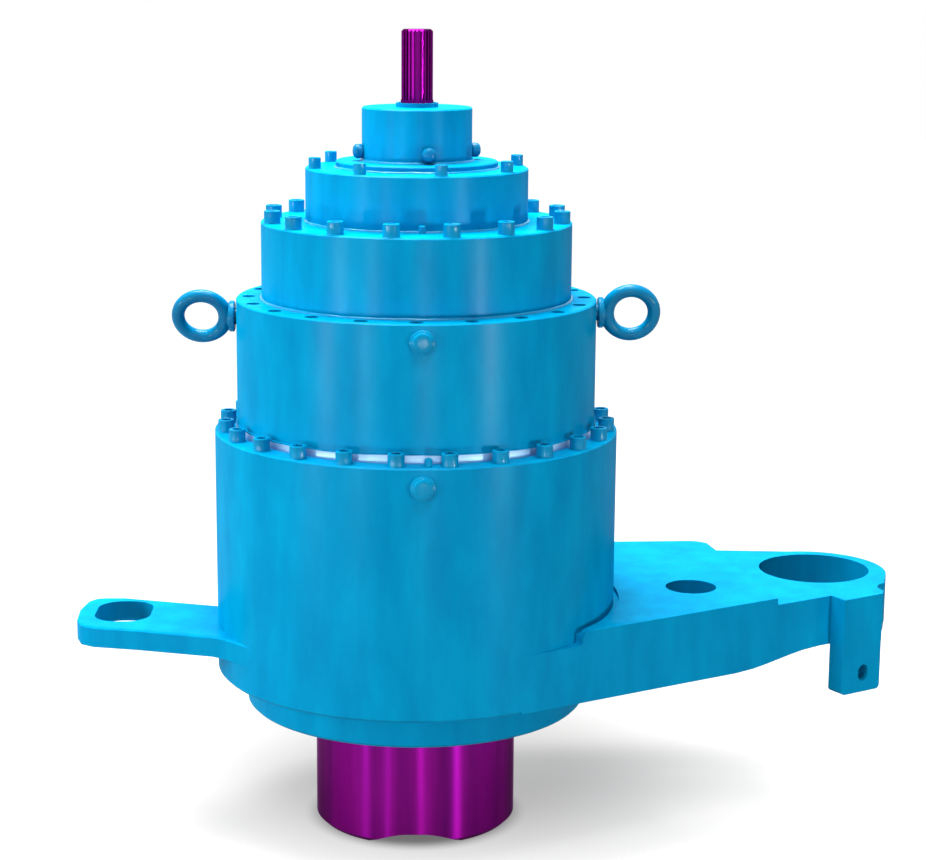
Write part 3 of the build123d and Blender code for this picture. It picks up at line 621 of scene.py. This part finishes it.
@dataclass(frozen=True)
class LiftingEyes:
    """Two forged lifting eyes on the sides of the second ring gear's foot.

    Each eye is (side, level, tilt in degrees): its ring is turned about its own shank by
    the tilt, just as far as it was screwed in.
    """

    eyes: tuple[tuple[int, float, float], ...] = ((1, 780.6, 14.4), (-1, 773.0, -23.4))
    ring_r: float = 35.0
    section_r: float = 9.8
    section_share: float = 0.98
    section_swell: float = 0.12
    centre_r: float = 318.0
    collar_r: float = 23.0
    collar_low: float = 269.0
    collar_high: float = 278.0
    shank_r: float = 12.0
    shank_low: float = 259.5
    neck_r: float = 15.0
    neck_flare: float = 4.0
    neck_sunk: float = 0.5
    ring_columns: int = 96
    section_rows: int = 33
    neck_rows: int = 12
    round_columns: int = 64

    def ring(self) -> np.ndarray:
        """The ring, a torus whose section swells towards the neck.

        Point = ((R + s cos v) cos u, s sin v, centre + (R + s cos v) sin u), where the
        section s is the plain one plus a swell that fades as the fourth power of -sin u.

        Returns:
            The grid of points about the eye's own axis.
        """
        u = angles(self.ring_columns)[None, :]
        v = np.linspace(0.0, 2 * math.pi, self.section_rows)[:, None]
        swell = np.clip(-np.sin(u), 0.0, 1.0) ** 4
        section = self.section_r * (self.section_share + self.section_swell * swell)
        out = self.ring_r + section * np.cos(v)
        return np.stack([out * np.cos(u), section * np.sin(v) + 0 * u,
                         self.centre_r + out * np.sin(u)], -1)

    def shank(self) -> np.ndarray:
        """Shank and collar, turned about the bolt's axis."""
        rim, low, high = self.collar_r, self.collar_low, self.collar_high
        under_edge, over_edge, corner = 1.5, 2.5, 0.8
        return turned([
            (0.0, self.shank_low), (self.shank_r, self.shank_low), (self.shank_r, low),
            (rim - under_edge, low), (rim, low + under_edge), (rim, high - over_edge),
            (rim - corner, high - corner), (rim - over_edge, high), (0.0, high),
        ], self.round_columns)

    def neck(self) -> np.ndarray:
        """The forged web between collar and ring: an ellipse that spreads into the ring.

        Its half width in the ring's plane is w + f ((1 - t)^2 + 0.8 t^3) with t from the
        collar to the ring. Its half thickness is 0.72 of that at the foot, falling to
        0.9 of the ring's section, and it ends 0.35 of a section inside the ring.

        Returns:
            The grid of points about the eye's own axis.
        """
        t = np.linspace(0.0, 1.0, self.neck_rows)[:, None]
        angle = angles(self.round_columns)[None, :]
        top = self.centre_r - self.ring_r + 0.35 * self.section_r
        wide = self.neck_r + self.neck_flare * ((1 - t) ** 2 + 0.8 * t ** 3)
        thick = 0.72 * wide * (1 - t) + 0.9 * self.section_r * t
        level = self.collar_high - self.neck_sunk + t * (top - self.collar_high + self.neck_sunk)
        side = np.stack([wide * np.cos(angle), thick * np.sin(angle), level + 0 * angle], -1)
        low, high = np.zeros_like(side[:1]), np.zeros_like(side[:1])
        low[..., 2], high[..., 2] = level[0, 0], level[-1, 0]
        return np.concatenate([low, side, high])

    def build(self, finish: bpy.types.Material) -> None:
        """Build both eyes in place of their CAD node.

        Args:
            finish: the enamel on the eyes, a deeper blue that is painted shade.
        """
        grids = []
        for side, level, tilt_deg in self.eyes:
            outwards = Matrix.Rotation(side * math.pi / 2, 4, "Y")
            tilt = Matrix.Rotation(math.radians(tilt_deg), 4, "Z")
            place = Matrix.Translation((0, 0, level)) @ outwards @ tilt
            grids += [placed(grid, place) for grid in (self.ring(), self.shank(), self.neck())]
        piece = make_piece("lifting_eyes", grids, finish)
        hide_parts("eye_bolts")


@dataclass(frozen=True)
class WallPlugs:
    """Round plugs on a round wall, each turned about an axis that leaves the wall.

    Spots are (wall radius, angle from the viewer in degrees, level).
    """

    name: str
    node: str
    spots: tuple[Triple, ...]
    profile: tuple[Pair, ...]
    columns: int = 56

    def build(self, finish: bpy.types.Material) -> None:
        """Build the plugs in place of their CAD node.

        Args:
            finish: the enamel on the plugs.
        """
        plug = turned(self.profile, self.columns)
        grids = []
        for radius, angle_deg, level in self.spots:
            turn = Matrix.Rotation(math.radians(angle_deg), 4, "Z")
            lying = Matrix.Rotation(math.pi / 2, 4, "X")
            spot = Matrix.Translation(around(angle_deg, radius, level))
            grids.append(placed(plug, spot @ turn @ lying))
        piece = make_piece(self.name, grids, finish)
        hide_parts(self.node)


@dataclass(frozen=True)
class LedgePins:
    """Small domed dowel pins that stand on the ledges and were painted over.

    Spots are (circle radius, angle from the viewer in degrees, level); the foot's points
    are (out from the side, up from the ledge).
    """

    spots: tuple[Triple, ...] = ((284.0, 3.4, 608.0), (171.5, 2.6, 916.5))
    radius: float = 5.5
    height: float = 12.0
    foot: tuple[Pair, ...] = ((1.2, 0.0), (0.3, 0.6), (0.0, 1.6))
    columns: int = 32
    dome_rows: int = 7

    def build(self, finish: bpy.types.Material) -> None:
        """Build the pins.

        Each is a foot fillet, a straight side and a quarter ellipse over the top:
        (r cos q, h - e + e sin q) with e half the pin's radius.

        Args:
            finish: the enamel on the pins.
        """
        dome = self.radius / 2
        profile = [(0.0, 0.0)] + [(self.radius + out, up) for out, up in self.foot]
        profile += [(self.radius * math.cos(q), self.height - dome + dome * math.sin(q))
                    for q in np.linspace(0.0, math.pi / 2, self.dome_rows)]
        profile[-1] = (0.0, self.height)
        pin = turned(profile, self.columns)
        grids = [placed(pin, Matrix.Translation(around(angle_deg, radius, level)))
                 for radius, angle_deg, level in self.spots]
        make_piece("ledge_dowels", grids, finish)


@dataclass(frozen=True)
class PaintFillets:
    """Beads of thick enamel that have gathered in the corners where walls meet ledges.

    Corners are (wall radius, ledge level). The bead's size swells and thins round the
    wall by two waves (count, share, phase), as brushed paint does.
    """

    corners: tuple[Pair, ...] = ((80.7, 1005.0), (119.0, 995.0), (163.5, 916.5), (229.0, 803.0))
    bead: float = 3.0
    waves: tuple[Triple, ...] = ((7, 0.1, 0.0), (23, 0.06, 1.0))
    into_wall: float = 0.6
    into_ledge: float = 0.1
    columns: int = 240
    rows: int = 6
    sharp_deg: float = 60.0

    def build(self, finish: bpy.types.Material) -> None:
        """Build the beads.

        A bead's section is a quarter circle, (R + b cos q, z + b sin q), closed inside the
        wall.

        Args:
            finish: the enamel of the beads.
        """
        angle = angles(self.columns)
        swell = self.bead * waved(angle, self.waves, 1.0)
        grids = []
        for radius, level in self.corners:
            low = level - self.into_ledge
            inner = (radius - self.into_wall, np.full_like(angle, low))
            outer = [(radius + swell * math.cos(q), low + swell * math.sin(q))
                     for q in np.linspace(0.0, math.pi / 2, self.rows)]
            grids.append(ringed([inner, *outer, inner], angle))
        make_piece("paint_fillets", grids, finish, sharp_deg=self.sharp_deg)


@dataclass(frozen=True)
class SoftenedCasting:
    """A CAD node whose sharp edges are rubbed round, as fettling and thick paint leave them.

    Bores are (x, y, radius); upright faces that look at a bore's axis from within its
    radius get the finish of the bores, a darker blue that is painted shade.
    """

    node: str
    radius: float
    bores: tuple[Triple, ...] = ()
    slot: str = "paint"
    merge_mm: float = 0.01
    flat_deg: float = 0.6
    upright: float = 0.1
    sharp_deg: float = 38.0
    segments: int = 2

    def in_bore(self, face: bmesh.types.BMFace) -> bool:
        """Tell whether a face is the wall of a bore.

        Args:
            face: the face, in metres.

        Returns:
            True where it stands upright and looks at a near bore's axis.
        """
        centre = face.calc_center_median()
        for x, y, reach in self.bores:
            inwards = Vector((x * MM - centre.x, y * MM - centre.y, 0.0))
            near = inwards.length < reach * MM
            if near and abs(face.normal.z) < self.upright and face.normal.dot(inwards) > 0:
                return True
        return False

    def build(self, finish: bpy.types.Material, inside: bpy.types.Material) -> None:
        """Copy the node's mesh, merge its loose triangles and round its edges.

        Flat faces are dissolved into whole ones first, so that the rounding runs along
        real edges only. The loose triangles' own normals no longer fit and are removed.

        Args:
            finish: the finish of the casting.
            inside: the finish of its bores, a darker blue that is painted shade.
        """
        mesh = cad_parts[self.node].data.copy()
        shape = bmesh.new()
        shape.from_mesh(mesh)
        bmesh.ops.remove_doubles(shape, verts=shape.verts, dist=self.merge_mm * MM)
        bmesh.ops.dissolve_limit(shape, angle_limit=math.radians(self.flat_deg),
                                 verts=shape.verts, edges=shape.edges)
        # Bore walls get the second material, the darker blue of painted shade.
        for face in shape.faces:
            face.material_index = int(self.in_bore(face))
        shape.to_mesh(mesh)
        shape.free()
        stale = mesh.attributes.get("custom_normal")
        if stale:
            mesh.attributes.remove(stale)
        mesh.materials.clear()
        mesh.materials.append(finish)
        mesh.materials.append(inside)
        mesh.shade_smooth()
        piece = add_object(self.node + "_softened", mesh)
        edges = piece.modifiers.new("rounded_edges", "BEVEL")
        edges.width = self.radius * MM
        edges.segments = self.segments
        edges.limit_method = "ANGLE"
        edges.angle_limit = math.radians(self.sharp_deg)
        edges.harden_normals = True
        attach(piece, "housing")
        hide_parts(self.node)
        LOG.info("piece %s: %d faces before its edges are rounded", piece.name,
                 len(mesh.polygons))


@dataclass(frozen=True)
class BareBand:
    """The strip at the foot of the third ring gear that was masked and left bare.

    Its upper edge wanders by three waves (count, size, phase), as the paint left it.
    """

    radius: float = 268.5
    low: float = 608.0
    height: float = 12.4
    proud: float = 0.25
    waves: tuple[Triple, ...] = ((3, 0.9, 0.0), (11, 0.5, 1.0), (29, 0.35, 2.0))
    wander: float = 0.7
    overlap: float = 1.2
    into_wall: float = 0.6
    lift: float = 0.1
    edge_down: float = 0.3
    edge_in: float = 0.2
    columns: int = 360

    def build(self, finish: bpy.types.Material) -> None:
        """Build the strip, a thin ring.

        Its upper edge is the height less the paint's overlap, plus the wander times the
        sum of the waves.

        Args:
            finish: the bare metal, tinted blue by a painted reflection.
        """
        angle = angles(self.columns)
        top = self.low + self.height - self.overlap + self.wander * waved(angle, self.waves)
        inner, outer = self.radius - self.into_wall, self.radius + self.proud
        low = np.full_like(angle, self.low + self.lift)
        rings = [(inner, low), (outer, low), (outer, top - self.edge_down),
                 (outer - self.edge_in, top), (inner, top), (inner, low)]
        make_piece("bare_turned_band", [ringed(rings, angle)], finish)


# Studio


@dataclass(frozen=True)
class Lamp:
    """One soft rectangular lamp, in metres; a fill lamp stays out of reflections."""

    name: str
    place: Triple
    size: Pair
    watts: float
    aim: Triple = (0.0, 0.0, 0.6)
    fill: bool = False

    def hang(self) -> None:
        """Hang the lamp, turned towards its aim."""
        data = bpy.data.lights.new(self.name, "AREA")
        data.shape = "RECTANGLE"
        data.size, data.size_y = self.size
        data.energy = self.watts
        lamp = add_object(self.name, data)
        lamp.location = self.place
        ray = Vector(self.aim) - Vector(self.place)
        lamp.rotation_euler = ray.to_track_quat("-Z", "Y").to_euler()
        lamp.visible_glossy = not self.fill


def strip(name: str, turn_deg: float, width: float, watts: float) -> Lamp:
    """A strip lamp that stands low and draws one upright glint on the output shaft.

    Args:
        name: the lamp's name.
        turn_deg: where it stands, from the viewer's side towards +X.
        width: how wide it is, in metres.
        watts: its power.

    Returns:
        The lamp, aimed at the shaft.
    """
    distance, level, tall = 4.0, 0.2, 0.34
    return Lamp(name, around(turn_deg, distance, level), (width, tall), watts, (0.0, 0.0, level))


LAMPS = (
    Lamp("top_softbox", (-0.25, 0.5, 3.3), (2.2, 1.6), 258.0),
    Lamp("front_top_softbox", (0.3, -1.3, 3.3), (0.9, 0.4), 36.0),
    Lamp("left_fill", around(-88, 3.6, 0.95), (1.4, 1.3), 88.0, fill=True),
    strip("broad_strip", -56, 0.4, 36.0),
    strip("narrow_strip", -31, 0.05, 24.0),
    strip("front_strip", 6, 0.06, 18.0),
    strip("sharp_strip", 46, 0.04, 54.0),
)


@dataclass(frozen=True)
class Studio:
    """Camera, soft lights, pale floor and white backdrop.

    The camera's place is in millimetres, and the floor and its glow are in metres.
    """

    eye_mm: Triple = (-1.8, -3325.0, 1282.0)
    lens_mm: float = 87.94
    sensor_mm: float = 36.0
    clip_m: float = 100.0
    pitch_deg: float = 11.563
    yaw_deg: float = -1.24
    roll_deg: float = 0.39
    floor_half: float = 14.0
    floor_drop: float = 0.0004
    floor_tones: tuple[str, str] = ("#6E6D6C", "#6A6968")
    floor_cloud_mm: float = 1250.0
    floor_bounce: str = "#686868"
    # The floor's glow dims towards the glow's centre, a painted shadow round the object, and
    # within the contact reach, a painted contact shadow round the shaft's foot.
    glow_centre: Triple = (0.05, 0.22, 0.0)
    glow_reach: Pair = (0.16, 0.64)
    glow_levels: Pair = (0.46, 1.0)
    painted_contact_shadow_reach: Pair = (0.125, 0.175)
    painted_contact_shadow_levels: Pair = (0.25, 1.0)
    sky_colour: str = "#F2FAFF"
    sky_heights: Pair = (-0.1, 0.9)
    sky_levels: Pair = (0.08, 0.4)
    side_levels: Pair = (1.3, 0.7)

    def camera(self) -> None:
        """Place the camera as it was fitted to the photograph."""
        yaw, pitch, roll = (math.radians(v) for v in (self.yaw_deg, self.pitch_deg, self.roll_deg))
        upright = Vector((0, 0, 1))
        right = Vector((math.cos(yaw), math.sin(yaw), 0.0))
        level = Vector((-math.sin(yaw), math.cos(yaw), 0.0))
        forward = math.cos(pitch) * level - math.sin(pitch) * upright
        up = math.sin(pitch) * level + math.cos(pitch) * upright
        across = math.cos(roll) * right + math.sin(roll) * up
        top = math.cos(roll) * up - math.sin(roll) * right
        data = bpy.data.cameras.new("photo_camera")
        data.lens = self.lens_mm
        data.sensor_width = self.sensor_mm
        data.clip_end = self.clip_m
        camera = add_object("photo_camera", data)
        camera.matrix_world = Matrix.Translation(Vector(self.eye_mm) * MM) @ Matrix(
            (across, top, -forward)).transposed().to_4x4()
        bpy.context.scene.camera = camera

    @staticmethod
    def shown(tree: Tree) -> Socket:
        """One for the rays that show the background: camera, glossy and transmission rays."""
        path = add_node(tree, "ShaderNodeLightPath").outputs
        direct = worked_out(tree, "MAXIMUM", path["Is Camera Ray"], path["Is Glossy Ray"])
        return worked_out(tree, "MAXIMUM", direct, path["Is Transmission Ray"])

    def floor_glow(self, tree: Tree, place: Socket) -> Socket:
        """How strongly the floor glows: less near the object, a painted shadow, and least where it
        stands, a painted contact shadow.

        Args:
            tree: the floor's node tree.
            place: the floor's own coordinates.

        Returns:
            The strength.
        """
        # Painted shadow: the glow is weaker near the object.
        away = add_node(tree, "ShaderNodeVectorMath", {0: place, 1: self.glow_centre},
                        operation="DISTANCE")
        far = ramp(tree, away.outputs["Value"], self.glow_reach, interpolation_type="SMOOTHSTEP")
        glow = ramp(tree, far, (0.0, 1.0), self.glow_levels)
        # Painted contact shadow: the glow falls off round the shaft's foot.
        foot = add_node(tree, "ShaderNodeVectorMath", {0: place}, operation="LENGTH")
        painted_contact_shadow = ramp(tree, foot.outputs["Value"], self.painted_contact_shadow_reach, self.painted_contact_shadow_levels,
                       interpolation_type="SMOOTHSTEP")
        return worked_out(tree, "MULTIPLY", glow, painted_contact_shadow)

    def floor(self) -> None:
        """Lay the pale floor just under the shaft's end."""
        mesh = bpy.data.meshes.new("studio_floor")
        half, low = self.floor_half, -self.floor_drop
        corners = [(-half, -half, low), (half, -half, low), (half, half, low), (-half, half, low)]
        mesh.from_pydata(corners, [], [(0, 1, 2, 3)])
        material, tree = blank_material("pale_floor")
        place = position(tree)
        tone = blend(tree, noise(tree, place, self.floor_cloud_mm, detail=2.0), *self.floor_tones)
        lit = add_node(tree, "ShaderNodeBsdfDiffuse", {"Color": tone})
        glow = add_node(tree, "ShaderNodeEmission",
                        {"Color": WHITE, "Strength": self.floor_glow(tree, place)})
        seen = add_node(tree, "ShaderNodeAddShader",
                        {0: lit.outputs["BSDF"], 1: glow.outputs["Emission"]})
        bounce = add_node(tree, "ShaderNodeBsdfDiffuse", {"Color": linear(self.floor_bounce)})
        mix = add_node(tree, "ShaderNodeMixShader",
                       {"Fac": self.shown(tree), 1: bounce.outputs["BSDF"],
                        2: seen.outputs["Shader"]})
        add_node(tree, "ShaderNodeOutputMaterial", {"Surface": mix.outputs["Shader"]})
        mesh.materials.append(material)
        floor = add_object("studio_floor", mesh)

    def backdrop(self) -> None:
        """Light the world: white where the camera looks, and elsewhere a soft sky.

        The sky brightens upwards and towards -X.
        """
        world = bpy.data.worlds.new("studio_world")
        bpy.context.scene.world = world
        world.use_nodes = True
        tree = world.node_tree
        tree.nodes.clear()
        direction = add_node(tree, "ShaderNodeTexCoord").outputs["Generated"]
        axes = add_node(tree, "ShaderNodeSeparateXYZ", {"Vector": direction})
        sky = ramp(tree, axes.outputs["Z"], self.sky_heights, self.sky_levels)
        side = ramp(tree, axes.outputs["X"], (-1.0, 1.0), self.side_levels)
        soft = add_node(tree, "ShaderNodeBackground",
                        {"Color": linear(self.sky_colour),
                         "Strength": worked_out(tree, "MULTIPLY", sky, side)})
        white = add_node(tree, "ShaderNodeBackground", {"Color": WHITE, "Strength": 1.0})
        mix = add_node(tree, "ShaderNodeMixShader",
                       {"Fac": self.shown(tree), 1: soft.outputs["Background"],
                        2: white.outputs["Background"]})
        add_node(tree, "ShaderNodeOutputWorld", {"Surface": mix.outputs["Shader"]})

    def build(self) -> None:
        """Build the whole studio."""
        self.camera()
        self.floor()
        self.backdrop()
        for lamp in LAMPS:
            lamp.hang()
        bpy.context.scene.view_settings.view_transform = "Standard"


# The gearbox

# A head's radius, its height, the width of its socket and the socket's depth.
M16_HEAD = (12.0, 18.5, 14.0, 8.0)
M16_SUNK_HEAD = (12.0, 16.0, 14.0, 8.0)
M12_HEAD = (9.0, 16.0, 10.0, 6.0)
M12_SUNK_HEAD = (9.0, 12.0, 10.0, 6.0)
SCREWS = (
    ScrewCircle("lower_screws", 24, 284.0, -5.6, 608.0, *M16_HEAD),
    ScrewCircle("middle_screws", 16, 215.0, -9.4, 916.5, *M16_HEAD),
    ScrewCircle("upper_screws", 8, 152.0, 13.0, 995.0, *M12_HEAD, chamfer=1.0),
    ScrewCircle("sunk_screws", 20, 248.5, 0.0, 779.0, *M12_SUNK_HEAD, chamfer=1.0, foot=0.3),
    ScrewCircle("cover_screws", 8, 228.0, 22.5, 209.0, *M16_SUNK_HEAD, foot=0.3,
                upside_down=True),
)
OIL_PLUGS = WallPlugs(
    "oil_level_plugs", "oil_plugs", ((266.5, 1.8, 777.5), (300.0, 1.8, 580.0)),
    ((0.0, -2.0), (18.0, -2.0), (18.0, 2.6), (17.5, 3.5), (16.5, 4.0), (15.0, 4.3), (14.2, 5.0),
     (14.0, 7.0), (13.4, 8.2), (12.0, 8.9), (6.0, 9.0), (0.0, 9.0)),
)
INPUT_PLUGS = WallPlugs(
    "neck_plugs", "input_plugs", tuple((80.7, 11.5 + 90.0 * turn, 1019.0) for turn in range(4)),
    ((0.0, -10.0), (6.4, -10.0), (6.4, 1.0), (9.5, 1.0), (10.4, 1.8), (10.5, 3.0), (10.5, 8.0),
     (10.1, 10.0), (8.9, 12.0), (6.9, 13.5), (4.0, 14.3), (0.0, 14.5)),
)
HOUSING = SoftenedCasting(
    "output_housing", 3.5, ((640.0, 185.0, 89.0), (424.0, 36.0, 41.0), (-444.0, 7.0, 62.0)),
)
STAGES = (1, 2, 3)


def dress_nodes(finishes: Finishes) -> None:
    """Give every CAD node that keeps its mesh a finish.

    Args:
        finishes: the finishes.
    """
    dress(["output_seal_cover", "ring_gear_3", "ring_gear_2", "ring_gear_1",
           "input_bearing_housing", "input_seal_collar"], finishes.wall)
    dress(["output_shaft", "input_shaft"], finishes.coating)
    dress([f"sun_{n}" for n in STAGES] + [f"planet_{n}{c}" for n in STAGES for c in "abc"],
          finishes.gear)
    dress([f"carrier_{n}" for n in STAGES] + ["shaft_nut", "bearing_spacer"], finishes.iron)
    dress(["output_outer_races", "output_inner_races", "output_rollers", "input_outer_races",
           "input_inner_races", "input_rollers"] + [f"planet_pins_{n}" for n in STAGES],
          finishes.bearing)
    dress([f"planet_bushes_{n}" for n in STAGES], finishes.bronze)
    dress(["output_seal", "input_seal"], finishes.seal)


def main() -> None:
    """Build the finishes, dress the CAD nodes and add the fine pieces."""
    logging.basicConfig(level=logging.INFO, format="%(name)s: %(message)s")
    finishes = Finishes.build()
    dress_nodes(finishes)
    for circle in SCREWS:
        circle.build(finishes.fastener)
    # The housing's bore walls get the darker blue of painted shade.
    HOUSING.build(finishes.wall, finishes.bore)
    OIL_PLUGS.build(finishes.fastener)
    # The neck plugs and the eyes get the deeper blue of painted shade.
    INPUT_PLUGS.build(finishes.forging_with_painted_shade)
    PaintFillets().build(finishes.bead)
    LedgePins().build(finishes.fastener)
    LiftingEyes().build(finishes.forging_with_painted_shade)
    BareBand().build(finishes.band)
    Studio().build()


if __name__ == "__main__":
    main()
